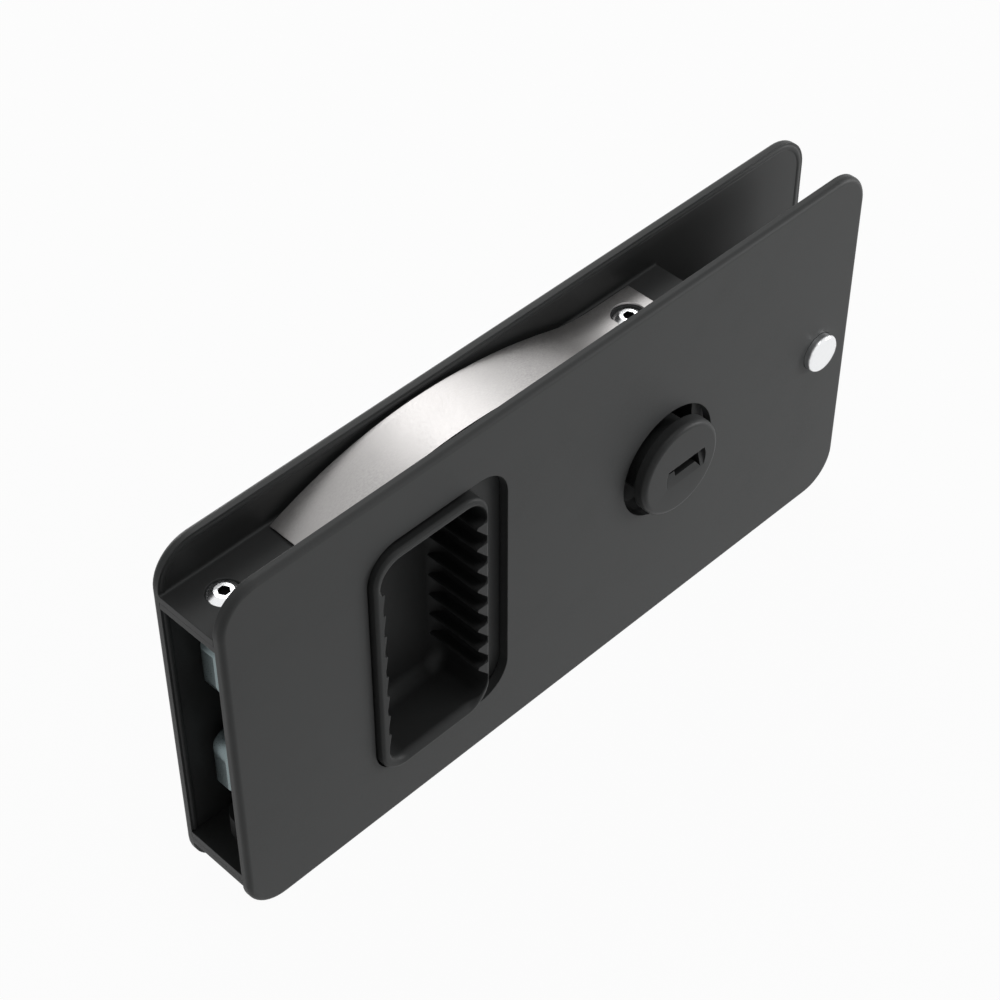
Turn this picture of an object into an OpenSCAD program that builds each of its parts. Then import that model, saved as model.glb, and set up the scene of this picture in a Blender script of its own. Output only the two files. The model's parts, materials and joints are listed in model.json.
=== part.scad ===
// Flush door latch: two face plates around a hollow body, a finger cup that slides
// and opens a pair of jaws, a keyed knob that locks the slide, and a leaf spring on top.
// X runs from the mouth where the strike enters to the end that grips the door panel.
// Y runs from the front to the back, Z is up, and the origin is on the strike's path
// in the plane of the mouth.

/* [Plates] */
// Length of both face plates
plate_length = 197; // [190:1:230]
// Height of both face plates
plate_height = 100; // [96:1:120]
// Thickness of each face plate
plate_thickness = 2.4; // [2:0.1:3.2]
// Radius of the plates' corners
plate_corner = 10; // [6:0.5:14]
// Rounding of the plates' outer edges
plate_fillet = 1.3; // [0.5:0.1:1.8]

/* [Body] */
// Gap between the face plates, which is the thickness of the door panel
panel_gap = 16.7; // [16.7:0.1:19]
// Length of the body, from the mouth to its closed end
body_length = 145.5; // [140:0.5:160]
// Height of the body above the strike's path
body_top = 39.3; // [39:0.1:42]
// Depth of the body below the strike's path
body_bottom = 40.3; // [40:0.1:43]
// Thickness of each of the two nested layers of wall
layer = 1.8; // [1.5:0.05:1.9]
// Gap between the two layers of wall
layer_gap = 0.05; // [0.02:0.01:0.1]
// Fillet between the body's outer layer and the back plate
root_fillet = 0.7; // [0.3:0.1:1.2]

/* [Finger slot] */
// Distance from the mouth to the slot
slot_left = 38; // [38:0.5:40]
// Height of the slot
slot_height = 70.6; // [69.5:0.1:71]
// Radius of the slot's corners
slot_corner = 8.5; // [6:0.5:10]
// Gap between the cup's left side and the slot at rest
cup_gap = 0.6; // [0.4:0.1:1]

/* [Finger cup] */
// Width of the finger cup
cup_width = 33; // [30:0.5:34]
// Height of the finger cup
cup_height = 68.3; // [60:0.1:69]
// Radius of the cup's corners
cup_corner = 7; // [5:0.5:9]
// How far the cup's rim stands out of the front plate
cup_proud = 1.85; // [1:0.05:3]
// Depth of the cup, from its rim to its floor
cup_depth = 16; // [12:0.5:16]
// Thickness of the cup's floor
cup_floor = 1.6; // [1.2:0.1:1.8]
// Thickness of the cup's wall at the left
cup_wall_left = 1.9; // [1.4:0.1:2.5]
// Thickness of the cup's wall at the right, behind the ribs
cup_wall_right = 0.6; // [0.5:0.1:1.2]
// Thickness of the cup's walls at the top and bottom
cup_wall_ends = 2.7; // [2:0.1:3.5]
// Rounding of the rim's outer edge
rim_fillet = 0.9; // [0.4:0.1:1.2]
// Rounding of the lower wall's front edge
sill_fillet = 2; // [1:0.1:2.4]
// Rounding between the cup's floor and its walls
floor_fillet = 4; // [2:0.5:5]
// Distance that the cup slides
travel = 7; // [5:0.5:7]
// Thickness of the flange behind the front plate
flange_thickness = 1.6; // [1.2:0.1:2]
// Running gap around the sliding parts
slide_gap = 0.2; // [0.15:0.05:0.3]

/* [Finger ribs] */
// Number of ribs on each side of the cup
rib_count = 8; // [5:1:9]
// Distance from one rib to the next
rib_pitch = 6.4; // [5.5:0.1:6.8]
// Height of the top rib's upper flank
rib_top = 24.4; // [20:0.1:25]
// How far the ribs stand out of the right wall
rib_reach = 3.1; // [2:0.1:3.5]
// How far the ribs stand out of the left wall
rib_reach_left = 0.65; // [0.5:0.05:1.2]
// Height of a rib where it meets the wall
rib_base = 4.2; // [3:0.1:5]
// Rounding of the tip of a rib
rib_tip = 0.45; // [0.2:0.05:0.6]

/* [Jaws] */
// Distance from the mouth to the jaws' faces
jaw_face = 6.3; // [5.5:0.1:8]
// Half of the opening between the closed jaws
jaw_half_gap = 7.8; // [7:0.1:9]
// Height of the flat top of a jaw's face
jaw_face_top = 22.4; // [20:0.1:24]
// Radius of a jaw's nose
nose_radius = 4.7; // [4:0.1:5]
// Thickness of the jaws
jaw_thickness = 5.7; // [5:0.1:6]
// Distance from the mouth to the jaws' pivots
pivot_x = 22; // [21:0.5:22]
// Height of the upper pivot above the strike's path
pivot_z = 21; // [20.5:0.5:22]
// Radius of the pivot pins
pivot_radius = 2; // [1.5:0.1:2.2]
// Radius of the jaw around its pivot
pivot_boss = 5.5; // [5:0.1:6]
// Distance from the pivot to the follower pin, along the latch
tail_x = 12; // [11.5:0.5:12]
// How far the follower pin lies nearer the strike's path than the pivot
tail_z = 4; // [3:0.5:4.5]
// Radius of the follower pins
follower_radius = 1.5; // [1.2:0.1:1.6]
// Radius of the jaw around its follower pin
tail_boss = 3.5; // [3:0.1:3.6]
// Angle that each jaw opens
jaw_angle = 16; // [12:0.5:16]
// Radial clearance of the pins that turn
pin_gap = 0.05; // [0.03:0.01:0.09]
// Radial clearance of a follower pin in its cam slot
cam_gap = 0.2; // [0.15:0.05:0.3]

/* [Slide plate] */
// Thickness of the slide plate
slide_thickness = 1.8; // [1.6:0.1:1.8]
// Width of metal around a cam slot
slot_land = 1.9; // [1.5:0.1:2.2]
// Half of the height of the lock tongue
tongue_half = 8; // [6:0.5:10]
// Height of the window in the slide plate
window_height = 30; // [20:1:36]
// Width of metal on each side of the window, within the cup's width
window_land = 8; // [6:0.5:10]
// Radius of the window's corners
window_corner = 4; // [2:0.5:6]

/* [Lock] */
// Distance from the body's closed end to the knob's axis
knob_inset = 14; // [13.5:0.1:14.5]
// Radius of the hole in the front plate around the knob
knob_hole = 14.95; // [14:0.05:15.5]
// Radius of the knob's cap
cap_radius = 12.7; // [11:0.1:13]
// How far the cap stands out of the front plate
cap_proud = 4.4; // [3.8:0.1:6]
// Thickness of the cap
cap_thickness = 3.3; // [3:0.1:3.6]
// Rounding of the cap's edge
cap_fillet = 1.4; // [0.4:0.1:1.6]
// Radius of the knob's neck
neck_radius = 9.7; // [8:0.1:9.9]
// Depth of the floor around the neck, behind the front plate's face
well_depth = 7; // [6:0.5:7.5]
// Radius of the knob's journal in the lock housing
journal_radius = 6; // [5:0.1:6.5]
// Width of the key recess
recess_width = 13.4; // [12:0.1:15]
// Height of the key recess
recess_height = 5.6; // [4.5:0.1:6.5]
// Depth of the key recess at its upper edge
recess_depth = 1.4; // [0.8:0.1:2]
// Width of the key slot
slit_width = 10; // [8:0.1:11]
// Height of the key slot
slit_height = 1.9; // [1.5:0.1:2.5]
// Reach of the lock cam
cam_reach = 12; // [10:0.5:13]
// Radius of the lock spindle
spindle_radius = 3; // [2.5:0.1:3.2]

/* [Return springs] */
// Height of the return springs above and below the strike's path
spring_z = 22; // [20:0.5:23]
// Mean radius of the return springs
coil_radius = 3; // [2.8:0.1:3.3]
// Diameter of the spring wire
wire = 0.9; // [0.7:0.1:1]
// Number of turns
coil_turns = 10; // [8:1:11]
// Distance from the body's closed end to the springs' fixed end
anchor_inset = 42; // [40:0.5:43]

/* [Leaf spring] */
// Distance from the left case screws to the leaf spring's free end
leaf_start = 18.1; // [16:0.1:22]
// Length of the leaf spring's left slope
leaf_slope = 40.9; // [36:0.1:44]
// Rise of the leaf spring
leaf_rise = 8.7; // [7:0.1:9.5]
// Length of the flat tail on each side of its hole
tail_left = 3.8; // [3.6:0.1:6]
tail_right = 7.2; // [6:0.1:10]
// Width of the leaf spring
leaf_width = 14; // [11:0.5:14.5]
// Thickness of the leaf spring
leaf_thickness = 0.6; // [0.5:0.1:0.8]
// Radius of the hole in the tail
leaf_hole = 4.25; // [4:0.05:4.6]

/* [Screws] */
// Distance from the mouth to the left case screws
screw_left = 10; // [9.5:0.5:11]
// Distance from the body's closed end to the right case screws
screw_inset = 17.7; // [17:0.1:18.5]
// Radius of the case screws' heads
head_radius = 3.8; // [3.5:0.1:3.9]
// Height of the case screws' heads
head_height = 1.5; // [1.2:0.1:2]
// How far the heads are sunk in the body
head_sink = 1; // [0.8:0.1:1.2]
// Radius of the case screws
screw_radius = 2; // [1.5:0.1:2]
// Length of the case screws
screw_length = 7.5; // [7:0.5:8.5]
// Width of the sockets in the case screws
socket_width = 2.5; // [2:0.1:2.6]
// Radius of the small screws
small_radius = 1.5; // [1.2:0.1:1.5]

/* [Panel pin] */
// Distance from the plates' right end to the panel pin
pin_inset = 11.7; // [10:0.1:16]
// Radius of the panel pin
panel_pin_radius = 5; // [4:0.1:6]
// How far the pin stands out of the front plate
pin_proud = 2.1; // [1:0.1:3]
// Chamfer of the pin's face
pin_chamfer = 0.4; // [0.2:0.1:0.8]

/* [Hidden] */
$fn = 48;
eps = 0.02;
hair = 0.01;
far = 40;

inner_front = -panel_gap / 2;
inner_back = panel_gap / 2;
face_front = inner_front - plate_thickness;
face_back = inner_back + plate_thickness;
cavity_top = body_top - 2 * layer - layer_gap;
cavity_bottom = -body_bottom + 2 * layer + layer_gap;
cavity_end = body_length - 2 * layer - layer_gap;
knob_x = body_length - knob_inset;
anchor_x = body_length - anchor_inset;
screw_right = body_length - screw_inset;
pin_x = plate_length - pin_inset;

cup_left = slot_left + cup_gap;
cup_right = cup_left + cup_width;
cup_centre = cup_left + cup_width / 2;
slot_right = cup_right + travel + 0.4;
slot_width = slot_right - slot_left;
rim_front = face_front - cup_proud;
cup_back = rim_front + cup_depth + cup_floor;
pocket_left = cup_left + cup_wall_left;
pocket_right = cup_right - cup_wall_right;
pocket_width = pocket_right - pocket_left;
pocket_height = cup_height - 2 * cup_wall_ends;
pocket_corner = cup_corner - 1.2;
flange_front = inner_front + slide_gap;
flange_lap = 1.5;
flange_left = slot_left - travel - flange_lap;
flange_right = slot_right + flange_lap;

slide_back = inner_back - slide_gap;
slide_front = slide_back - slide_thickness;
jaw_back = slide_front - 0.25;
jaw_front = jaw_back - jaw_thickness;
nose_x = jaw_face + nose_radius;
nose_z = jaw_half_gap + nose_radius;
catch_x = nose_x + 3;
arm_under = jaw_half_gap + 7.2;
edge_round = 1.2;

pivot = [pivot_x, pivot_z];
tail = [pivot_x + tail_x, pivot_z - tail_z];
// Place of the follower pin on the slide plate once the jaw is open
tail_open = [
    pivot_x + tail_x * cos(jaw_angle) - tail_z * sin(jaw_angle) - travel,
    pivot_z - tail_x * sin(jaw_angle) - tail_z * cos(jaw_angle)
];
slot_radius = follower_radius + cam_gap;
arm_radius = slot_radius + slot_land;
boss_radius = pivot_radius + 1.3;
plate_left = cup_left - 1.6;
plate_right = cup_right + 2.4;
plate_half = cup_height / 2 - 1.2;
slide_screw_inset = 5;

cap_front = face_front - cap_proud;
cap_back = cap_front + cap_thickness;
well_floor = face_front + well_depth;
well_radius = knob_hole + 0.4;
barrel_radius = well_radius + 2;
housing_back = slide_front - 1.3;
housing_right = cavity_end - 0.2;
web_front = -2.3;
web_back = 1;
ring_thickness = 0.9;
ring_front = housing_back + slide_gap / 4;
journal_back = ring_front + ring_thickness + 0.1;
groove_radius = journal_radius - 1;
recess_x = 1.6;
recess_z = -1;
ring_radius = journal_radius + 2.2;
cam_tip = 3.2;
cam_arm = cam_reach - cam_tip;
stop_radius = 1.5;
stop_offset = cam_tip + stop_radius + 0.1;
tongue_end = knob_x - cam_reach - travel - 0.4;
post_left = 9;
post_right = 5;
housing_screw_x = [anchor_x + post_left, housing_right - post_right];
housing_screw_z = 24;

spigot_radius = coil_radius - wire / 2 - 0.4;
spigot_length = 5;
spring_y = -1;
wire_sides = 6;
steps_per_turn = 16;

insert_radius = screw_radius + 0.9;
insert_length = 5;
insert_boss = insert_radius + 1.5;
head_bed = body_top - head_sink;
foot_bed = -body_bottom + head_sink;
// Ends of the blind holes under the case screws, and of the bosses around them
hole_low = min(head_bed - screw_length - 0.4, cavity_top - insert_length);
hole_high = max(foot_bed + screw_length + 0.4, cavity_bottom + insert_length);
boss_low = hole_low - 1;
boss_high = hole_high + 1;
housing_half = min(boss_low, -boss_high) - 0.9;
pin_screw_radius = 2.5;
pin_screw_head = 4.6;
pin_screw_sink = 2.2;
sink_gap = 0.15;

leaf_left = screw_left + leaf_start;
leaf_peak = leaf_left + leaf_slope;
tail_start = screw_right - tail_left;
leaf_run = tail_start - leaf_peak;

// Turns a shape drawn in X and Z, and raised towards the front, into place
module to_front(y) { translate([0, y, 0]) rotate([90, 0, 0]) children(); }
// The same for a shape that is raised towards the back
module to_back(y) { translate([0, y, 0]) rotate([90, 0, 0]) mirror([0, 0, 1]) children(); }
// Bar between two depths, from an outline drawn in X and Z
module bar(y0, y1) { to_back(y0) linear_extrude(y1 - y0) children(); }
// Round bar along Y
module rod(x, z, r, y0, y1) { translate([x, y0, z]) rotate([-90, 0, 0]) cylinder(h = y1 - y0, r = r); }
// Round bar along X
module rod_x(y, z, r, x0, x1) { translate([x0, y, z]) rotate([0, 90, 0]) cylinder(h = x1 - x0, r = r); }

// Rectangle with round corners, centred
module rounded(w, h, r) {
    square([w - 2 * r, h], center = true);
    square([w, h - 2 * r], center = true);
    for (x = [-1, 1], y = [-1, 1]) translate([x * (w / 2 - r), y * (h / 2 - r)]) circle(r);
}

// Block with round corners whose far face has a rolled edge
module pillow(w, h, r, d, f) {
    linear_extrude(d - f) rounded(w, h, r);
    linear_extrude(d) rounded(w - 2 * f, h - 2 * f, r - f);
    for (y = [-1, 1]) translate([0, y * (h / 2 - f), d - f]) rotate([0, 90, 0])
        cylinder(h = w - 2 * r, r = f, center = true);
    for (x = [-1, 1]) translate([x * (w / 2 - f), 0, d - f]) rotate([90, 0, 0])
        cylinder(h = h - 2 * r, r = f, center = true);
    for (x = [-1, 1], y = [-1, 1]) translate([x * (w / 2 - r), y * (h / 2 - r), d - f])
        if (f > r - f) rotate_extrude() intersection() {
            translate([r - f, 0]) circle(f);
            translate([0, -f]) square(2 * r);
        }
        else rotate_extrude() translate([r - f, 0]) circle(f);
}

// Two circles joined by their outer tangents, which end a hair inside the circles
module link(p, rp, q, rq) {
    a = atan2(q[1] - p[1], q[0] - p[0]);
    b = acos((rp - rq) / norm(q - p));
    u = [cos(a + b), sin(a + b)];
    v = [cos(a - b), sin(a - b)];
    translate(p) circle(rp);
    translate(q) circle(rq);
    polygon([p + (rp - hair) * v, q + (rq - hair) * v, q + (rq - hair) * u, p + (rp - hair) * u]);
}

// Both the upper and the lower copy of a shape
module both() { children(); mirror([0, 0, 1]) children(); }

// One face plate, with its outer edges rolled
module face_plate() {
    pillow(plate_length, plate_height, plate_corner, plate_thickness, plate_fillet);
}

// U of wall that is open at the mouth, from its outer faces
module wall_loop(right, top, bottom) {
    difference() {
        translate([0, bottom]) square([right, top - bottom]);
        translate([-1, bottom + layer]) square([right - layer + 1, top - bottom - 2 * layer]);
    }
}

// Post that the lock housing is screwed to
module housing_post(x, z) {
    difference() {
        rod(x, z, small_radius + 1.7, inner_front - eps, web_front);
        rod(x, z, small_radius + pin_gap, inner_front + 0.6, web_front + 1);
    }
}

module front_cover() {
    step = layer + layer_gap;
    color("#3c3d3f") difference() {
        union() {
            translate([plate_length / 2, 0, 0]) to_front(inner_front) face_plate();
            bar(inner_front - eps, inner_back - 0.1)
                wall_loop(body_length - step, body_top - step, -body_bottom + step);
            for (x = [screw_left, screw_right]) {
                translate([x, 0, boss_low]) cylinder(h = cavity_top - boss_low + 0.5, r = insert_boss);
                translate([x, 0, cavity_bottom - 0.5])
                    cylinder(h = boss_high - cavity_bottom + 0.5, r = insert_boss);
            }
            both() rod(pivot_x, pivot_z, boss_radius + 0.7, inner_front - eps, jaw_front - 0.15);
            for (x = housing_screw_x, z = [-1, 1]) housing_post(x, z * housing_screw_z);
        }
        translate([slot_left + slot_width / 2, 0, 0]) bar(face_front - 1, inner_front + 0.01)
            rounded(slot_width, slot_height, slot_corner);
        rod(knob_x, 0, knob_hole, face_front - 1, inner_front + 0.01);
        rod(pin_x, 0, panel_pin_radius + 2 * pin_gap, face_front - 1, inner_front + 1);
        both() rod(pivot_x, pivot_z, pivot_radius + pin_gap, inner_front, 1);
        for (x = [screw_left, screw_right]) {
            translate([x, 0, cavity_top - insert_length]) cylinder(h = far, r = insert_radius);
            translate([x, 0, cavity_bottom + insert_length - far]) cylinder(h = far, r = insert_radius);
            translate([x, 0, hole_low]) cylinder(h = far, r = screw_radius + 0.2);
            translate([x, 0, hole_high - far]) cylinder(h = far, r = screw_radius + 0.2);
        }
    }
}

// Concave fillet where the outer layer meets the back plate
module root_bead(z, side) {
    translate([0, inner_back, z]) rotate([0, 90, 0]) linear_extrude(body_length)
        difference() {
            translate([side > 0 ? -root_fillet : -eps, -root_fillet])
                square([root_fillet + eps, root_fillet + eps]);
            translate([-side * root_fillet, -root_fillet]) circle(root_fillet);
        }
}

module back_cover() {
    color("#343536") difference() {
        union() {
            translate([plate_length / 2, 0, 0]) to_back(inner_back) face_plate();
            bar(inner_front + 0.1, inner_back + eps)
                wall_loop(body_length, body_top, -body_bottom);
            root_bead(body_top, 1);
            root_bead(-body_bottom, -1);
            both() rod(pivot_x, pivot_z, boss_radius, slide_front, inner_back + eps);
        }
        for (x = [screw_left, screw_right]) {
            translate([x, 0, 0]) cylinder(h = far + far, r = screw_radius + pin_gap, center = true);
            translate([x, 0, head_bed]) cylinder(h = 2, r = head_radius + 0.2);
            translate([x, 0, foot_bed - 2]) cylinder(h = 2, r = head_radius + 0.2);
        }
        both() rod(pivot_x, pivot_z, pivot_radius + pin_gap, slide_front - 1, inner_back);
        rod(pin_x, 0, pin_screw_radius + 2 * pin_gap, inner_back - 1, face_back + 1);
        to_back(face_back - pin_screw_sink) translate([pin_x, 0, 0]) cylinder(
            h = pin_screw_sink + eps, r1 = pin_screw_radius + sink_gap,
            r2 = pin_screw_radius + sink_gap + pin_screw_sink + eps
        );
    }
}

// Rib with a level upper flank, a sloping lower flank and a round tip that points along -X
module rib(reach, base) {
    half = atan2(base, reach) / 2;
    k = rib_tip / sin(half);
    tip = [-reach - k * cos(half) + rib_tip, 0];
    centre = tip + k * [cos(half), -sin(half)];
    touch = rib_tip / tan(half);
    polygon([
        [0.3, 0], [centre[0], 0], centre, tip + touch * [cos(2 * half), -sin(2 * half)],
        [0.3, -base * (1 + 0.3 / reach)]
    ]);
    translate(centre) circle(rib_tip);
}

// Column of ribs on a wall, from the rim down to the floor's rounding
module finger_ribs(reach) {
    bar(rim_front - 2, rim_front + cup_depth - floor_fillet - 0.1) for (i = [0 : rib_count - 1])
        translate([0, rib_top - i * rib_pitch]) rib(reach, rib_base);
}

module finger_cup() {
    pocket_centre = pocket_left + pocket_width / 2;
    color("#303133") difference() {
        union() {
            translate([cup_centre, 0, 0]) to_front(cup_back)
                pillow(cup_width, cup_height, cup_corner, cup_back - rim_front, rim_fillet);
            bar(flange_front, flange_front + flange_thickness)
                translate([flange_left, cavity_bottom + slide_gap])
                square([flange_right - flange_left, cavity_top - cavity_bottom - 2 * slide_gap]);
            both() for (x = [cup_left + slide_screw_inset, cup_right - slide_screw_inset])
                rod(x, plate_half - slide_screw_inset, small_radius + 1.6, cup_back - eps, slide_front);
            both() rod_x(spring_y, spring_z, spigot_radius, cup_right - 0.3, cup_right + spigot_length);
        }
        difference() {
            translate([pocket_centre, 0, 0]) to_back(rim_front - 1)
                pillow(pocket_width, pocket_height, pocket_corner, cup_depth + 1, floor_fillet);
            translate([pocket_right, 0, 0]) finger_ribs(rib_reach);
            translate([pocket_left, 0, 0]) mirror([1, 0, 0]) finger_ribs(rib_reach_left);
        }
        // Rolled front edge of the lower wall
        difference() {
            translate([pocket_left + pocket_corner, rim_front - 1, -pocket_height / 2 - sill_fillet])
                cube([pocket_width - 2 * pocket_corner, sill_fillet + 1, sill_fillet + 1]);
            translate([0, rim_front + sill_fillet, -pocket_height / 2 - sill_fillet]) rotate([0, 90, 0])
                cylinder(h = far * 3, r = sill_fillet);
        }
        both() for (x = [cup_left + slide_screw_inset, cup_right - slide_screw_inset])
            rod(x, plate_half - slide_screw_inset, small_radius + pin_gap, cup_back - 0.9, slide_front + 1);
    }
}

// Outline of the slide plate, in X and Z
module slide_outline() {
    difference() {
        union() {
            translate([plate_left, -plate_half]) square([plate_right - plate_left, 2 * plate_half]);
            translate([plate_right - 1, -tongue_half])
                square([tongue_end - plate_right - 3, 2 * tongue_half]);
            translate([tongue_end - tongue_half, 0]) circle(tongue_half);
            for (s = [-1, 1]) {
                link([tail[0], s * tail[1]], arm_radius, [tail_open[0], s * tail_open[1]], arm_radius);
                translate([tail[0], s * tail[1] - arm_radius])
                    square([plate_left - tail[0] + 1, 2 * arm_radius]);
            }
        }
        translate([cup_centre, 0]) rounded(cup_width - 2 * window_land, window_height, window_corner);
        for (s = [-1, 1])
            link([tail[0], s * tail[1]], slot_radius, [tail_open[0], s * tail_open[1]], slot_radius);
    }
}

module slide_plate() {
    color("#9aa0a6") difference() {
        bar(slide_front, slide_back) slide_outline();
        both() for (x = [cup_left + slide_screw_inset, cup_right - slide_screw_inset])
            translate([x, slide_front - eps, plate_half - slide_screw_inset]) rotate([-90, 0, 0]) {
                cylinder(h = slide_thickness + 1, r = small_radius + pin_gap);
                translate([0, 0, 0.4])
                    cylinder(h = slide_thickness - 0.4 + 2 * eps, r1 = small_radius, r2 = 2.95);
            }
    }
}

module slide_screws() {
    tip = cup_back - 0.8;
    color("#b8bcc0") both() for (x = [cup_left + slide_screw_inset, cup_right - slide_screw_inset])
        translate([x, 0, plate_half - slide_screw_inset]) difference() {
            union() {
                rod(0, 0, small_radius, tip, slide_back - 0.05);
                to_back(slide_back - 1.35) cylinder(h = 1.3, r1 = small_radius, r2 = 2.8);
            }
            to_back(slide_back - 0.8) cylinder(h = 1, r = 0.9, $fn = 6);
        }
}

// Side view of the upper jaw: a nose that hooks over the strike, a pivot boss and a tail
module jaw_outline() {
    difference() {
        union() {
            translate([nose_x, nose_z]) circle(nose_radius);
            polygon([
                [catch_x, nose_z - 1], [catch_x, arm_under], [pivot_x, arm_under], pivot,
                [pivot_x - 2, pivot_z + pivot_boss - 0.6], [jaw_face + 1.2, jaw_face_top],
                [jaw_face + hair, jaw_face_top - 1], [jaw_face + hair, nose_z]
            ]);
            link(pivot, pivot_boss, tail, tail_boss);
        }
        translate([catch_x, 0]) square([pivot_x - catch_x - 3, arm_under]);
    }
}

// Plan view of the jaw, with round upright edges at its face
module jaw_plan() {
    translate([jaw_face + edge_round, jaw_front]) square([far, jaw_thickness]);
    translate([jaw_face, jaw_front + edge_round]) square([far, jaw_thickness - 2 * edge_round]);
    for (y = [jaw_front + edge_round, jaw_back - edge_round])
        translate([jaw_face + edge_round, y]) circle(edge_round);
}

module jaw() {
    difference() {
        intersection() {
            bar(jaw_front, jaw_back) jaw_outline();
            linear_extrude(far) jaw_plan();
        }
        rod(pivot[0], pivot[1], pivot_radius + pin_gap, jaw_front - 1, jaw_back + 1);
        rod(tail[0], tail[1], follower_radius + 0.02, jaw_front + 1, jaw_back + 1);
    }
}

module upper_jaw() { color("#8fa0a8") jaw(); }
module lower_jaw() { color("#8fa0a8") mirror([0, 0, 1]) jaw(); }

module jaw_pivot_pins() {
    color("#b8bcc0") both() rod(pivot_x, pivot_z, pivot_radius, inner_front + 0.05, inner_back - 0.05);
}

module follower_pin() { rod(tail[0], tail[1], follower_radius, jaw_front + 1.1, slide_back - 0.05); }
module upper_follower_pin() { color("#b8bcc0") follower_pin(); }
module lower_follower_pin() { color("#b8bcc0") mirror([0, 0, 1]) follower_pin(); }

// Point on the wire's surface, t turns along the coil and a degrees around the wire
function coil_point(t, a, length) =
    let (r = coil_radius + wire / 2 * cos(a))
    [t / coil_turns * length + wire / 2 * sin(a), r * cos(360 * t), r * sin(360 * t)];

module coil(length) {
    rings = coil_turns * steps_per_turn;
    points = [
        for (i = [0 : rings], j = [0 : wire_sides - 1])
            coil_point(i / steps_per_turn, 360 / wire_sides * j, length)
    ];
    sides = [
        for (i = [0 : rings - 1], j = [0 : wire_sides - 1])
            let (k = i * wire_sides, n = (j + 1) % wire_sides)
            [k + j, k + n, k + n + wire_sides, k + j + wire_sides]
    ];
    start = [for (j = [wire_sides - 1 : -1 : 0]) j];
    end = [for (j = [0 : wire_sides - 1]) rings * wire_sides + j];
    polyhedron(points, concat([start, end], sides));
}

module return_springs() {
    seat = cup_right + wire / 2 + 0.1;
    color("#c4c8cc") both() translate([seat, spring_y, spring_z]) coil(anchor_x - wire / 2 - 0.1 - seat);
}

// Post behind the lock housing that the lock cam stops against
module cam_stop(x, z) { rod(knob_x + x, z, stop_radius, housing_back - eps, slide_back - 0.3); }

module lock_housing() {
    color("#2a2b2d") {
        intersection() {
            translate([0, inner_front + 0.05, -far]) cube([housing_right, far, 2 * far]);
            difference() {
                union() {
                    rod(knob_x, 0, barrel_radius, inner_front, housing_back);
                    bar(web_front, web_back) translate([anchor_x, -housing_half])
                        square([far * 2, 2 * housing_half]);
                    bar(web_front - 3, housing_back) translate([anchor_x, -housing_half])
                        square([3, 2 * housing_half]);
                    both() rod_x(spring_y, spring_z, spigot_radius, anchor_x - spigot_length, anchor_x + 1);
                }
                rod(knob_x, 0, well_radius, inner_front - 1, well_floor);
                rod(knob_x, 0, journal_radius + pin_gap, well_floor - 1, housing_back + 1);
                for (x = housing_screw_x, z = [-1, 1])
                    rod(x, z * housing_screw_z, small_radius + 0.1, web_front - 1, web_back + 1);
            }
        }
        cam_stop(stop_offset, -cam_arm);
        cam_stop(-cam_arm, stop_offset);
    }
}

module housing_screws() {
    color("#b8bcc0") for (x = housing_screw_x, z = [-1, 1]) difference() {
        union() {
            rod(x, z * housing_screw_z, small_radius, inner_front + 1, web_back + 0.1);
            rod(x, z * housing_screw_z, small_radius + 1.2, web_back, web_back + 1.8);
        }
        to_back(web_back + 0.8) translate([x, z * housing_screw_z, 0]) cylinder(h = 2, r = 1.3, $fn = 6);
    }
}

// Half profile of the knob: radius against distance behind the cap's face
module knob_profile() {
    cap = cap_back - cap_front;
    neck = well_floor - 0.2 - cap_front;
    back = journal_back - cap_front;
    groove = ring_front - cap_front;
    difference() {
        union() {
            square([cap_radius - cap_fillet, cap]);
            translate([0, cap_fillet]) square([cap_radius, cap - cap_fillet]);
            translate([cap_radius - cap_fillet, cap_fillet]) circle(cap_fillet);
            square([neck_radius, neck]);
            square([journal_radius, back]);
        }
        translate([groove_radius, groove - 0.03]) square([5, ring_thickness + 0.06]);
        translate([-1, cap + 2]) square([spindle_radius + 1.02, far]);
        translate([-far, 0]) square([far, far]);
    }
}

// Key recess: round ends, level upper edge, and a floor that slants up to the cap's face at the bottom
module key_recess() {
    half = recess_height / 2;
    intersection() {
        rod(0, 0, recess_width / 2, cap_front - 1, cap_front + recess_depth + 1);
        translate([-recess_width, 0, 0]) rotate([90, 0, 90]) linear_extrude(2 * recess_width) polygon([
            [cap_front - 1, -half - recess_height / recess_depth], [cap_front + recess_depth, half],
            [cap_front - 1, half]
        ]);
    }
}

module lock_knob() {
    color("#2c2d2f") difference() {
        translate([knob_x, cap_front, 0]) rotate([-90, 0, 0]) rotate_extrude($fn = 96) knob_profile();
        translate([knob_x + recess_x, 0, recess_z]) {
            key_recess();
            bar(cap_front - 1, cap_back + 1) translate([-slit_width / 2, recess_height / 2 - slit_height])
                square([slit_width, slit_height]);
        }
    }
}

module lock_spindle() {
    color("#b8bcc0") rod(knob_x, 0, spindle_radius, cap_back + 2.1, slide_back - 0.1);
}

module lock_cam() {
    color("#9aa0a6") bar(slide_front + 0.05, slide_back - 0.1) translate([knob_x, 0]) difference() {
        link([0, 0], spindle_radius + 2.2, [0, -cam_arm], cam_tip);
        circle(spindle_radius + 0.02);
    }
}

module retaining_ring() {
    color("#55585c") bar(ring_front, ring_front + ring_thickness) translate([knob_x, 0]) difference() {
        circle(ring_radius);
        circle(groove_radius + 0.03);
        translate([0, -1.2]) square([far, 2.4]);
    }
}

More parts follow.
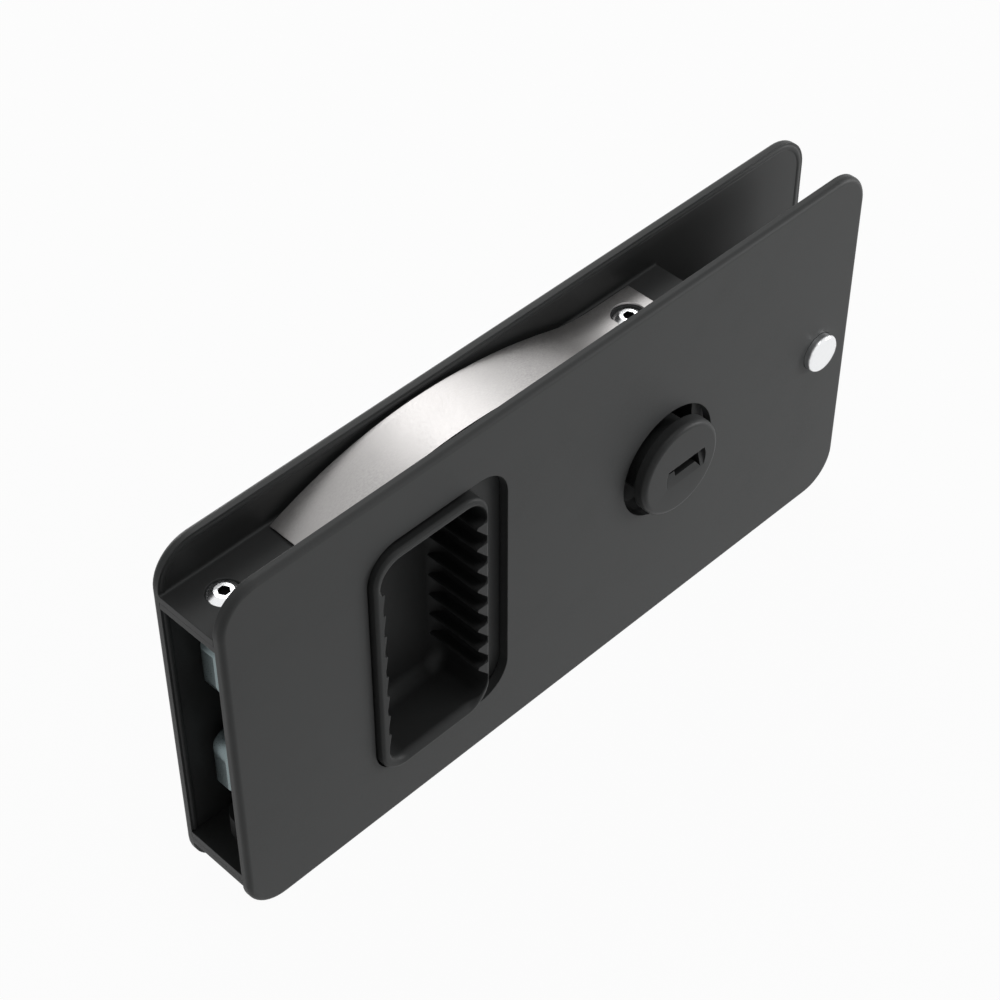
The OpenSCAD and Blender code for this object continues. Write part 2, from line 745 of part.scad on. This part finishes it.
// Bent strip in X and Z: a ring sector between two angles
module ring_sector(x, z, r0, r1, from, to) {
    intersection() {
        translate([x, z]) difference() { circle(r1, $fn = 720); circle(r0, $fn = 720); }
        translate([x, z]) polygon([
            [0, 0], 2 * r1 * [cos(from), sin(from)],
            2 * r1 / cos((to - from) / 2) * [cos((from + to) / 2), sin((from + to) / 2)],
            2 * r1 * [cos(to), sin(to)]
        ]);
    }
}

module leaf_spring() {
    bed = body_top + 0.05;
    peak = bed + leaf_thickness + leaf_rise;
    left_radius = (leaf_slope * leaf_slope + leaf_rise * leaf_rise) / (2 * leaf_rise);
    left_angle = asin(leaf_slope / left_radius);
    // Two arcs, tangent to each other, lead down to the flat tail
    fall = 2 * atan2(leaf_rise, leaf_run);
    both_radii = leaf_run / sin(fall);
    arch_radius = both_radii * 0.72;
    toe_radius = both_radii - arch_radius;
    color("#c9ccce") bar(-leaf_width / 2, leaf_width / 2) {
        ring_sector(leaf_peak, peak - left_radius, left_radius - leaf_thickness, left_radius,
            90, 90 + left_angle);
        ring_sector(leaf_peak, peak - arch_radius, arch_radius - leaf_thickness, arch_radius, 90 - fall, 90);
        ring_sector(tail_start, bed + leaf_thickness + toe_radius, toe_radius, toe_radius + leaf_thickness,
            270 - fall, 270);
    }
    color("#c9ccce") difference() {
        translate([tail_start, -leaf_width / 2, bed])
            cube([tail_left + tail_right, leaf_width, leaf_thickness]);
        translate([screw_right, 0, bed - 1]) cylinder(h = 3, r = leaf_hole);
    }
}

// Low round head with a six-sided socket, its bearing face at Z = 0
module case_screw() {
    dome = 2.2;
    difference() {
        union() {
            translate([0, 0, -screw_length]) cylinder(h = screw_length + 0.1, r = screw_radius);
            cylinder(h = 0.5, r = head_radius);
            translate([0, 0, 0.5]) cylinder(h = head_height - 0.5, r1 = head_radius, r2 = dome);
        }
        translate([0, 0, head_height - 1.1]) cylinder(h = 2, r = socket_width / sqrt(3), $fn = 6);
    }
}

module case_screws() {
    color("#e4e6e8") for (x = [screw_left, screw_right]) {
        translate([x, 0, head_bed]) case_screw();
        translate([x, 0, foot_bed]) rotate([180, 0, 0]) case_screw();
    }
}

module case_inserts() {
    color("#b98d3e") for (x = [screw_left, screw_right], z = [cavity_top - insert_length, cavity_bottom])
        translate([x, 0, z]) difference() {
            cylinder(h = insert_length, r = insert_radius);
            translate([0, 0, -1]) cylinder(h = insert_length + 2, r = screw_radius + 0.03);
        }
}

module panel_pin() {
    color("#e4e6e8") difference() {
        union() {
            rod(pin_x, 0, panel_pin_radius, face_front - pin_proud + pin_chamfer, inner_back - 0.05);
            to_front(face_front - pin_proud + pin_chamfer) translate([pin_x, 0, 0])
                cylinder(h = pin_chamfer, r1 = panel_pin_radius, r2 = panel_pin_radius - pin_chamfer);
        }
        rod(pin_x, 0, pin_screw_radius + 0.03, -2, inner_back + 1);
    }
}

module pin_screw() {
    color("#b8bcc0") difference() {
        union() {
            rod(pin_x, 0, pin_screw_radius, -1, face_back - 0.1);
            to_back(face_back - pin_screw_sink) translate([pin_x, 0, 0])
                cylinder(h = pin_screw_head - pin_screw_radius, r1 = pin_screw_radius, r2 = pin_screw_head);
        }
        to_back(face_back - 1.7) translate([pin_x, 0, 0]) cylinder(h = 2, r = 1.7, $fn = 6);
    }
}

front_cover();
back_cover();
finger_cup();
slide_plate();
slide_screws();
upper_jaw();
lower_jaw();
jaw_pivot_pins();
upper_follower_pin();
lower_follower_pin();
return_springs();
lock_housing();
housing_screws();
lock_knob();
lock_spindle();
lock_cam();
retaining_ring();
leaf_spring();
case_screws();
case_inserts();
panel_pin();
pin_screw();
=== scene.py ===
import json
import math

import bmesh
import bpy
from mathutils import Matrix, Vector


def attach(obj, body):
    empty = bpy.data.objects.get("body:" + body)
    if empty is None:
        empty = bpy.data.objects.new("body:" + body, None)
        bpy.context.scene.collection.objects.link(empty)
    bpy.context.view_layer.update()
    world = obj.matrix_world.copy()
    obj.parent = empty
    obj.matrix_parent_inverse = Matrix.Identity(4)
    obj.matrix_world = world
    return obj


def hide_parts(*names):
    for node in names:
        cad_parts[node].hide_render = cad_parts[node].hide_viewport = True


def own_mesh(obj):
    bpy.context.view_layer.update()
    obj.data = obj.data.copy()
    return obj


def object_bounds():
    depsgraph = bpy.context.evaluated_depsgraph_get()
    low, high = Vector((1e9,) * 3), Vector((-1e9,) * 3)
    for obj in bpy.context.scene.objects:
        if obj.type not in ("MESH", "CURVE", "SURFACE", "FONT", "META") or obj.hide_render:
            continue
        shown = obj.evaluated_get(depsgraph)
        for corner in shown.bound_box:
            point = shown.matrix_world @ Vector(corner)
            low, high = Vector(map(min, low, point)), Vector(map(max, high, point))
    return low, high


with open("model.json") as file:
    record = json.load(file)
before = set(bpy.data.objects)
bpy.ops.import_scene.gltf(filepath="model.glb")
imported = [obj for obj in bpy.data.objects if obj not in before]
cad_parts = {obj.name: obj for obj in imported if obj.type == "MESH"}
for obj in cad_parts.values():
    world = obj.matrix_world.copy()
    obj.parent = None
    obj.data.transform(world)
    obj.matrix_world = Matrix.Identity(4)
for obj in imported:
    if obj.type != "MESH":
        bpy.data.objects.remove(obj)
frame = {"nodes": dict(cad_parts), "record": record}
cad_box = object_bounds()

MM = 0.001
slots = {s["node"]: s["material_slot"] for s in frame["record"]["subparts"]}

# Camera: the photograph looks down at 45 degrees, along the diagonal between +X and +Y. The lens
# and the sensor are in millimetres
CAMERA_PLACE = (-0.190110, -0.277436, 0.402819)
CAMERA_TURN = (math.radians(45), 0, math.radians(-45))
LENS = 90
SENSOR = 36
CLIP_START = 0.01

# Light: the world's level, the point that the lamps face, and each lamp's name, place, width,
# height and watts
AMBIENT = 0.055
LIT_POINT = (0.1, 0, 0)
LAMPS = (
    ("key", (1.06, -0.68, 0), 0.5, 0.5, 9.2),
    ("front_top", (0.15, -0.32, 1.1), 0.4, 0.4, 1.5),
    ("overhead", (0.66, 0.62, 0.9), 0.45, 0.4, 2.2),
    ("back", (0.3, 1.2, 0.1), 0.6, 0.6, 5.5),
)

# Floor: just under the plates' lower edges, and large enough for views from above. Light meets
# its matt shade, and the camera, metal and glass see it with that share of plain white
FLOOR_GAP = 0.02 * MM
FLOOR_SPAN = 12
FLOOR_MATT = 0.9
FLOOR_WHITE = 0.96
WHITE = (1, 1, 1, 1)
WHITE_RAYS = ["Is Camera Ray", "Is Glossy Ray", "Is Transmission Ray"]

# Surfaces: scale and detail of the clouds of tone, samples that soften an edge, and the angle in
# degrees from which an edge between facets stays sharp
CLOUD_SCALE = 45
CLOUD_DETAIL = 4
EDGE_SAMPLES = 6
SHARP_ANGLE = 28

# Pocket of the finger cup, in millimetres: its side walls, half its height, the radius of its
# corners, the rim's front and the floor
POCKET_LEFT = 40.5
POCKET_RIGHT = 71
POCKET_HALF = 31.45
POCKET_CORNER = 5.8
RIM_FRONT = -12.6
POCKET_FLOOR = 3.4

# Ribs on the pocket's right wall, in millimetres: where the node's own end towards the floor, how
# many there are, their pitch, the top of the first, their reach from the wall, their height at
# the wall, the radius of their tips and that of the fillets above their feet
RIB_END = -0.7
RIB_COUNT = 8
RIB_PITCH = 6.4
RIB_TOP = 24.4
RIB_REACH = 3.1
RIB_BASE = 4.2
RIB_TIP = 0.45
GULLET = 1.1

# Added bars, in millimetres: how far they run into the wall and the node's ribs, into the floor and
# into the rib below, how far a rib lies within the node's, and a fillet's start behind the rim
WALL_HOLD = 0.3
FLOOR_HOLD = 0.2
RIB_HOLD = 0.1
SUNK = 0.015
SETBACK = 0.2

# Rolled inner edge of the rim, in millimetres: its radius over the top, along the bottom and where
# the wall is thin, its gap to the left wall's first rib, how far the cutters stand out of the rim,
# and the steps around a corner
LIP = 1.1
SILL = 2.05
THIN_LIP = 0.3
ROLL_GAP = 0.1
CLEAR = 1
ROLL_STEPS = 12

# Case screws, in millimetres: their axes along X, and the radius and heights that hold the middles
# of the sockets' faces, which get painted shade. The lower screws' heights also hold a hidden ring
# of the shank
SCREW_AXES = (10, 127.8)
SOCKET_RADIUS = 2.05
SOCKET_HEIGHTS = ((36.6, 39.75), (-40.75, -36.6))

# Key slot in the knob's cap, in millimetres: its centre, its front and back, and its outline
# around the centre, with a pointed pocket at the right end
RECESS_X = 133.1
RECESS_Z = -1
SLOT_FRONT = -16
SLOT_BACK = -10.9
SLOT_OUTLINE = ((-3.2, -0.5), (3.7, -0.5), (5.1, -2.6), (5, 2.78), (-3.2, 2.78))


def linear(code):
    """Linear colour of a six-digit sRGB code."""
    parts = [int(code[i:i + 2], 16) / 255 for i in (0, 2, 4)]
    return [c / 12.92 if c <= 0.04045 else ((c + 0.055) / 1.055) ** 2.4 for c in parts]


def shaded(color, factor):
    """The colour, made darker or lighter, as RGBA."""
    return tuple(min(1, c * factor) for c in color) + (1,)


def noise(tree, vector, scale, detail=3, roughness=0.55):
    """Noise along a vector."""
    node = tree.nodes.new("ShaderNodeTexNoise")
    node.inputs["Scale"].default_value = scale
    node.inputs["Detail"].default_value = detail
    node.inputs["Roughness"].default_value = roughness
    tree.links.new(vector, node.inputs["Vector"])
    return node.outputs["Fac"]


def spread(tree, value, low, high, start=0.3, stop=0.7):
    """A value between start and stop, spread over the range from low to high."""
    node = tree.nodes.new("ShaderNodeMapRange")
    ends = (("From Min", start), ("From Max", stop), ("To Min", low), ("To Max", high))
    for name, number in ends:
        node.inputs[name].default_value = number
    tree.links.new(value, node.inputs["Value"])
    return node.outputs["Result"]


def blend(tree, factor, first, second):
    """Colour between two colours or colour sockets."""
    node = tree.nodes.new("ShaderNodeMix")
    node.data_type = "RGBA"
    tree.links.new(factor, node.inputs["Factor"])
    for socket, color in ((node.inputs["A"], first), (node.inputs["B"], second)):
        if isinstance(color, tuple):
            socket.default_value = color
        else:
            tree.links.new(color, socket)
    return node.outputs["Result"]


def finish_of(name, code, metallic, rough, grain, depth, shade=0.08, speck=0.1,
              stretch=(1, 1, 1), edge=0.0, specular=0.5):
    """Surface with cloudy tone, fine grain in colour, gloss and height, and softened edges.

    rough is the lowest and highest roughness, grain the grain's size, depth its height and edge
    the edges' radius in metres. shade and speck say how far the clouds and the grain stray from
    the colour, and stretch multiplies the grain's scale along X, Y and Z.
    """
    material = bpy.data.materials.new(name)
    material.use_nodes = True
    tree = material.node_tree
    shader = tree.nodes["Principled BSDF"]
    shader.inputs["Metallic"].default_value = metallic
    shader.inputs["Specular IOR Level"].default_value = specular
    place = tree.nodes.new("ShaderNodeTexCoord")
    mapping = tree.nodes.new("ShaderNodeMapping")
    mapping.inputs["Scale"].default_value = stretch
    tree.links.new(place.outputs["Object"], mapping.inputs["Vector"])
    color = linear(code)
    cloud = spread(tree, noise(tree, place.outputs["Object"], CLOUD_SCALE, CLOUD_DETAIL), 0, 1)
    fine = noise(tree, mapping.outputs["Vector"], 1 / grain)
    tone = blend(tree, cloud, shaded(color, 1 - shade), shaded(color, 1 + shade))
    dots = blend(tree, spread(tree, fine, 0, 1), shaded(color, 1 - speck), shaded(color, 1 + speck))
    both = blend(tree, cloud, tone, dots)
    tree.links.new(both, shader.inputs["Base Color"])
    tree.links.new(spread(tree, fine, rough[0], rough[1]), shader.inputs["Roughness"])
    bump = tree.nodes.new("ShaderNodeBump")
    bump.inputs["Strength"].default_value = 1
    bump.inputs["Distance"].default_value = depth
    tree.links.new(fine, bump.inputs["Height"])
    if edge:
        bevel = tree.nodes.new("ShaderNodeBevel")
        bevel.samples = EDGE_SAMPLES
        bevel.inputs["Radius"].default_value = edge
        tree.links.new(bevel.outputs["Normal"], bump.inputs["Normal"])
    tree.links.new(bump.outputs["Normal"], shader.inputs["Normal"])
    return material


def finishes():
    """One material for each material slot of the record."""
    return {
        "body_black": finish_of("coated_black", "434444", 0, (0.46, 0.56), 0.35 * MM, 0.004 * MM,
                                edge=0.25 * MM, specular=0.25),
        "cup_black": finish_of("moulded_black", "3a3b3b", 0, (0.42, 0.54), 0.22 * MM, 0.004 * MM,
                               edge=0.2 * MM, specular=0.15),
        "knob_black": finish_of("knob_black", "434444", 0, (0.38, 0.48), 0.25 * MM, 0.003 * MM,
                                edge=0.2 * MM, specular=0.15),
        "leaf_steel": finish_of("rolled_strip", "a3a1a0", 1, (0.3, 0.42), 0.3 * MM, 0.006 * MM,
                                speck=0.18, stretch=(0.5, 1, 0.5), edge=0.1 * MM),
        "stainless": finish_of("brushed_stainless", "b8bcc0", 1, (0.24, 0.38), 0.15 * MM,
                               0.002 * MM, stretch=(0.05, 1, 1), edge=0.1 * MM),
        "steel_dark": finish_of("plain_steel", "8b8f94", 1, (0.28, 0.4), 0.2 * MM, 0.002 * MM,
                                edge=0.1 * MM),
        "zinc": finish_of("blue_zinc", "7b8789", 1, (0.26, 0.36), 0.3 * MM, 0.003 * MM,
                          edge=0.2 * MM),
        "brass": finish_of("turned_brass", "b98d3e", 1, (0.25, 0.35), 0.15 * MM, 0.002 * MM,
                           edge=0.1 * MM),
        "chrome_screw": finish_of("chrome_screw", "f0f1f2", 1, (0.22, 0.28), 0.5 * MM,
                                  0.0002 * MM, shade=0.03, speck=0.03),
        "chrome_pin": finish_of("chrome_pin", "f0f1f2", 1, (0.12, 0.18), 0.5 * MM,
                                0.0002 * MM, shade=0.03, speck=0.03, edge=0.8 * MM),
    }


def smooth(piece):
    """Smooth shading between the facets of curved faces."""
    for face in piece.data.polygons:
        face.use_smooth = True
    piece.data.set_sharp_from_angle(angle=math.radians(SHARP_ANGLE))


def dress_nodes(materials):
    """Gives each node of the frame its slot's material and smooth shading."""
    for name, node in frame["nodes"].items():
        node.data.materials.clear()
        node.data.materials.append(materials[slots[name]])
        smooth(node)


def solid_of(name, rings):
    """Closed mesh through a row of rings, each a list of as many points in millimetres."""
    mesh = bmesh.new()
    rows = [[mesh.verts.new(Vector(p) * MM) for p in ring] for ring in rings]
    count = len(rows[0])
    for one, two in zip(rows, rows[1:]):
        for k in range(count):
            n = (k + 1) % count
            mesh.faces.new((one[k], one[n], two[n], two[k]))
    mesh.faces.new(rows[0])
    mesh.faces.new(rows[-1])
    bmesh.ops.recalc_face_normals(mesh, faces=mesh.faces)
    data = bpy.data.meshes.new(name)
    mesh.to_mesh(data)
    mesh.free()
    tool = bpy.data.objects.new(name, data)
    bpy.context.collection.objects.link(tool)
    return tool


def arc(centre_x, centre_z, radius, start, stop, steps=10):
    """Points of an arc in X and Z, between two angles in degrees."""
    angles = [math.radians(start + (stop - start) * k / steps) for k in range(steps + 1)]
    return [(centre_x + radius * math.cos(a), centre_z + radius * math.sin(a)) for a in angles]


def bar_of(name, outline, front, back):
    """Bar along Y from an outline in X and Z."""
    return solid_of(name, [[(x, y, z) for x, z in outline] for y in (front, back)])


def corner_path(centre_x, centre_z, turn_from, rolls):
    """Stations around a corner of the pocket: place, outward direction and radius of the roll.

    They cover a quarter turn from an angle in degrees, with a station for each radius in rolls.
    """
    stations = []
    for k, roll in enumerate(rolls):
        turn = math.radians(turn_from + 90 * k / (len(rolls) - 1))
        out = (math.cos(turn), math.sin(turn))
        place = (centre_x + POCKET_CORNER * out[0], centre_z + POCKET_CORNER * out[1])
        stations.append((place, out, roll))
    return stations


def roll_cutter(name, stations):
    """What a rolled inner edge of the rim takes off along its stations."""
    rings = []
    for (x, z), out, roll in stations:
        edge = arc(roll, roll, roll, 270, 180)
        section = [(-CLEAR, -CLEAR), (roll, -CLEAR)] + edge + [(-CLEAR, roll)]
        rings.append([(x + h * out[0], RIM_FRONT + depth, z + h * out[1]) for h, depth in section])
    return solid_of(name, rings)


def rim_rolls():
    """Cutters of the rim's rolled inner edge.

    One runs from the right wall over the top to the left wall's first rib, and the other along
    the bottom from wall to wall. Both start and end with the radius for a thin wall.
    """
    left, right = POCKET_LEFT + POCKET_CORNER, POCKET_RIGHT - POCKET_CORNER
    high = POCKET_HALF - POCKET_CORNER
    shares = [(1 - math.cos(math.pi * k / ROLL_STEPS)) / 2 for k in range(ROLL_STEPS + 1)]
    grow = [THIN_LIP + (LIP - THIN_LIP) * share for share in shares]
    fade = [THIN_LIP + (SILL - THIN_LIP) * (1 - share) for share in shares]
    top = corner_path(right, high, 0, grow)
    top += corner_path(left, high, 90, [LIP] * len(shares))
    top.append(((POCKET_LEFT, RIB_TOP + ROLL_GAP), (-1, 0), THIN_LIP))
    bottom = corner_path(left, -high, 180, fade[::-1])
    bottom += corner_path(right, -high, 270, fade[::2] + [THIN_LIP] * (ROLL_STEPS // 2))
    return [roll_cutter("top_roll", top), roll_cutter("bottom_roll", bottom)]


def rib_parts():
    """The right wall's ribs carried on to the floor, and the concave fillets above their feet."""
    half = math.atan2(RIB_BASE, RIB_REACH) / 2
    lean = RIB_TIP / math.sin(half)
    tip = POCKET_RIGHT - RIB_REACH + RIB_TIP - lean * math.cos(half) + SUNK
    centre = (tip + lean * math.cos(half), -lean * math.sin(half))
    foot = POCKET_RIGHT + WALL_HOLD
    slope = -RIB_BASE * (1 + WALL_HOLD / RIB_REACH)
    back = POCKET_FLOOR + FLOOR_HOLD
    parts = []
    for k in range(RIB_COUNT):
        z = RIB_TOP - k * RIB_PITCH - SUNK
        nose = arc(centre[0], z + centre[1], RIB_TIP, 90, 270 - math.degrees(2 * half))
        rib = [(foot, z), (centre[0], z)] + nose + [(foot, z + slope)]
        parts.append(bar_of(f"rib_{k}", rib, RIB_END - WALL_HOLD, back))
        corner = [(foot, z + GULLET), (foot, z - RIB_HOLD), (POCKET_RIGHT - GULLET, z - RIB_HOLD)]
        fillet = corner + arc(POCKET_RIGHT - GULLET, z + GULLET, GULLET, 270, 360)
        parts.append(bar_of(f"fillet_{k}", fillet, RIM_FRONT + SETBACK, back))
    return parts


def key_slot_cutter():
    """Deep key slot with a pointed pocket at its right end."""
    places = [(RECESS_X + x, RECESS_Z + z) for x, z in SLOT_OUTLINE]
    return bar_of("key_slot_cutter", places, SLOT_FRONT, SLOT_BACK)


def take_shape(piece):
    """Makes what the piece's modifiers do its own mesh."""
    graph = bpy.context.evaluated_depsgraph_get()
    shape = bpy.data.meshes.new_from_object(piece.evaluated_get(graph))
    piece.modifiers.clear()
    piece.data = shape


def reshaped(name, node, added, cut):
    """Copy of a node's mesh with pieces cut away and others added, in place of the node."""
    piece = bpy.data.objects.new(name, frame["nodes"][node].data.copy())
    bpy.context.collection.objects.link(piece)
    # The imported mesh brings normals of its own, which smear over the cut faces
    own_normals = piece.data.attributes.get("custom_normal")
    if own_normals:
        piece.data.attributes.remove(own_normals)
    for tool in cut:
        step = piece.modifiers.new(tool.name, "BOOLEAN")
        step.operation = "DIFFERENCE"
        step.solver = "EXACT"
        step.object = tool
    take_shape(piece)
    mesh = bmesh.new()
    for source in [piece] + added:
        mesh.from_mesh(source.data)
    mesh.to_mesh(piece.data)
    mesh.free()
    for tool in added + cut:
        bpy.data.objects.remove(tool)
    smooth(piece)
    piece.modifiers.new("even", "WEIGHTED_NORMAL").keep_sharp = True
    take_shape(piece)
    body = next(b for b, nodes in frame["record"]["behaviour"]["bodies"].items() if node in nodes)
    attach(piece, body)
    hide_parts(node)
    return piece


def paint_socket_shade(piece, material):
    """Paints the faces inside the screws' sockets near-black, as painted shade for the shadow deep
    inside them.
    """
    piece.data.materials.append(material)
    for face in piece.data.polygons:
        x, y, z = face.center / MM
        axis = min(SCREW_AXES, key=lambda a: abs(x - a))
        near = math.hypot(x - axis, y) < SOCKET_RADIUS
        deep = any(low < z < high for low, high in SOCKET_HEIGHTS)
        face.material_index = 1 if near and deep else 0


def rays_that_see(tree, names):
    """1 for rays of the named kinds, and 0 for the rest."""
    path = tree.nodes.new("ShaderNodeLightPath")
    total = path.outputs[names[0]]
    for name in names[1:]:
        node = tree.nodes.new("ShaderNodeMath")
        node.operation = "MAXIMUM"
        tree.links.new(total, node.inputs[0])
        tree.links.new(path.outputs[name], node.inputs[1])
        total = node.outputs[0]
    return total


def white_world(level):
    """Soft light from all round, which the camera, metal and glass see as white."""
    world = bpy.data.worlds.new("studio")
    bpy.context.scene.world = world
    world.use_nodes = True
    tree = world.node_tree
    tree.nodes.clear()
    light = tree.nodes.new("ShaderNodeBackground")
    light.inputs["Color"].default_value = WHITE
    light.inputs["Strength"].default_value = level
    seen = tree.nodes.new("ShaderNodeBackground")
    seen.inputs["Color"].default_value = WHITE
    seen.inputs["Strength"].default_value = 1
    mix = tree.nodes.new("ShaderNodeMixShader")
    output = tree.nodes.new("ShaderNodeOutputWorld")
    tree.links.new(rays_that_see(tree, WHITE_RAYS), mix.inputs["Fac"])
    tree.links.new(light.outputs["Background"], mix.inputs[1])
    tree.links.new(seen.outputs["Background"], mix.inputs[2])
    tree.links.new(mix.outputs["Shader"], output.inputs["Surface"])


def floor_material():
    """White floor that still takes the object's shadow."""
    material = bpy.data.materials.new("floor_white")
    material.use_nodes = True
    tree = material.node_tree
    tree.nodes.clear()
    matt = tree.nodes.new("ShaderNodeBsdfDiffuse")
    matt.inputs["Color"].default_value = (FLOOR_MATT, FLOOR_MATT, FLOOR_MATT, 1)
    glow = tree.nodes.new("ShaderNodeEmission")
    glow.inputs["Color"].default_value = WHITE
    glow.inputs["Strength"].default_value = 1
    share = tree.nodes.new("ShaderNodeMath")
    share.operation = "MULTIPLY"
    share.inputs[1].default_value = FLOOR_WHITE
    mix = tree.nodes.new("ShaderNodeMixShader")
    output = tree.nodes.new("ShaderNodeOutputMaterial")
    tree.links.new(rays_that_see(tree, WHITE_RAYS), share.inputs[0])
    tree.links.new(share.outputs[0], mix.inputs["Fac"])
    tree.links.new(matt.outputs["BSDF"], mix.inputs[1])
    tree.links.new(glow.outputs["Emission"], mix.inputs[2])
    tree.links.new(mix.outputs["Shader"], output.inputs["Surface"])
    return material


def make_floor():
    """Plain floor under the latch."""
    low = cad_box[0][2] - FLOOR_GAP
    bpy.ops.mesh.primitive_plane_add(size=FLOOR_SPAN, location=(0, 0, low))
    floor = bpy.context.object
    floor.name = "floor"
    floor.data.materials.append(floor_material())


def softbox(name, place, target, width, height, watts):
    """Rectangular lamp that faces its target."""
    lamp = bpy.data.lights.new(name, "AREA")
    lamp.shape = "RECTANGLE"
    lamp.size = width
    lamp.size_y = height
    lamp.energy = watts
    holder = bpy.data.objects.new(name, lamp)
    holder.location = place
    holder.rotation_euler = (Vector(target) - Vector(place)).to_track_quat("-Z", "Y").to_euler()
    bpy.context.collection.objects.link(holder)


def make_lights():
    """Soft studio light: the world and four lamps."""
    white_world(AMBIENT)
    for name, place, width, height, watts in LAMPS:
        softbox(name, place, LIT_POINT, width, height, watts)


def make_camera():
    """Camera in the photograph's place."""
    data = bpy.data.cameras.new("camera")
    data.lens = LENS
    data.sensor_width = SENSOR
    data.clip_start = CLIP_START
    camera = bpy.data.objects.new("camera", data)
    camera.location = CAMERA_PLACE
    camera.rotation_euler = CAMERA_TURN
    bpy.context.collection.objects.link(camera)
    bpy.context.scene.camera = camera


make_camera()
dress_nodes(finishes())
reshaped("finger_cup_rolled", "finger_cup", rib_parts(), rim_rolls())
reshaped("lock_knob_keyed", "lock_knob", [], [key_slot_cutter()])
# Near-black matt material: painted shade for the inside of the screws' sockets
socket_shade_paint = finish_of("socket_shade", "0a0a0b", 0, (0.7, 0.8), 0.2 * MM, 0.002 * MM, specular=0.1)
paint_socket_shade(reshaped("case_screws_shaded", "case_screws", [], []), socket_shade_paint)
springs = reshaped("return_springs_coiled", "return_springs", [], [])
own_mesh(springs)
make_floor()
make_lights()
bpy.context.scene.view_settings.view_transform = "Standard"
